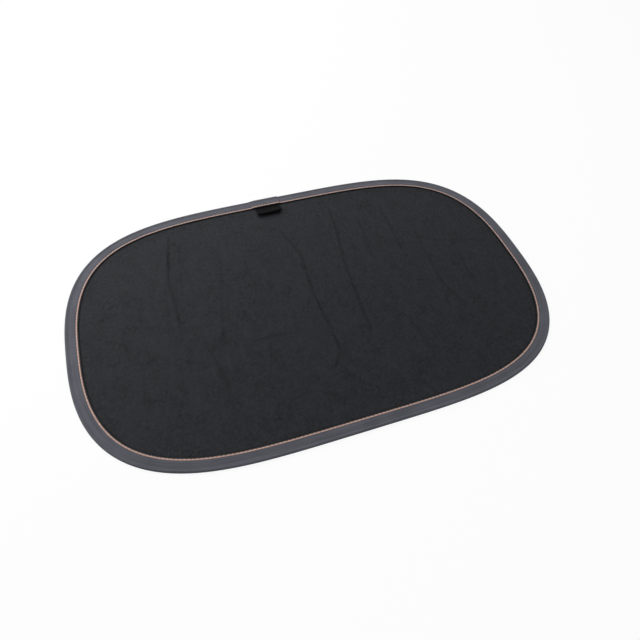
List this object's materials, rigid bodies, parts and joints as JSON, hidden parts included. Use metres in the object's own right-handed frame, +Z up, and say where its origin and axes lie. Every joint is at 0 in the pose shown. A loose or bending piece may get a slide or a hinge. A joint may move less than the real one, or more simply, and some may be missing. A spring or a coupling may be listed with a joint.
{
  "type": "car side window sunshade",
  "caption": "Flat squared-oval car window sunshade: black mesh on a clear clinging film, a sprung wire hoop inside a grey bound edge with an orange seam, and a bare folded tag.",
  "frame": {"origin": "on the surface that the shade lies on, under the middle of its outline", "axes": "+X along the shade's length, +Y towards the long edge that carries the tag, +Z up out of the cabin side"},
  "size_m": [0.51, 0.331, 0.005],
  "materials": {
    "woven_tape": "woven grey tape, matt with a faint sheen",
    "black_mesh": "fine black mesh, slightly glossy where creased",
    "clear_film": "clear soft film",
    "spring_steel": "drawn spring wire",
    "crimp_steel": "bright crimped tube",
    "seam_thread": "twisted polyester thread",
    "woven_tag": "black satin-woven tag, bare"
  },
  "bodies": {
    "root": {"edge_binding": "woven_tape", "shade_mesh": "black_mesh", "cling_film": "clear_film", "hoop_wire": "spring_steel", "hoop_sleeve": "crimp_steel", "needle_thread": "seam_thread", "bobbin_thread": "seam_thread", "label_tag": "woven_tag"}
  },
  "joints": []
}
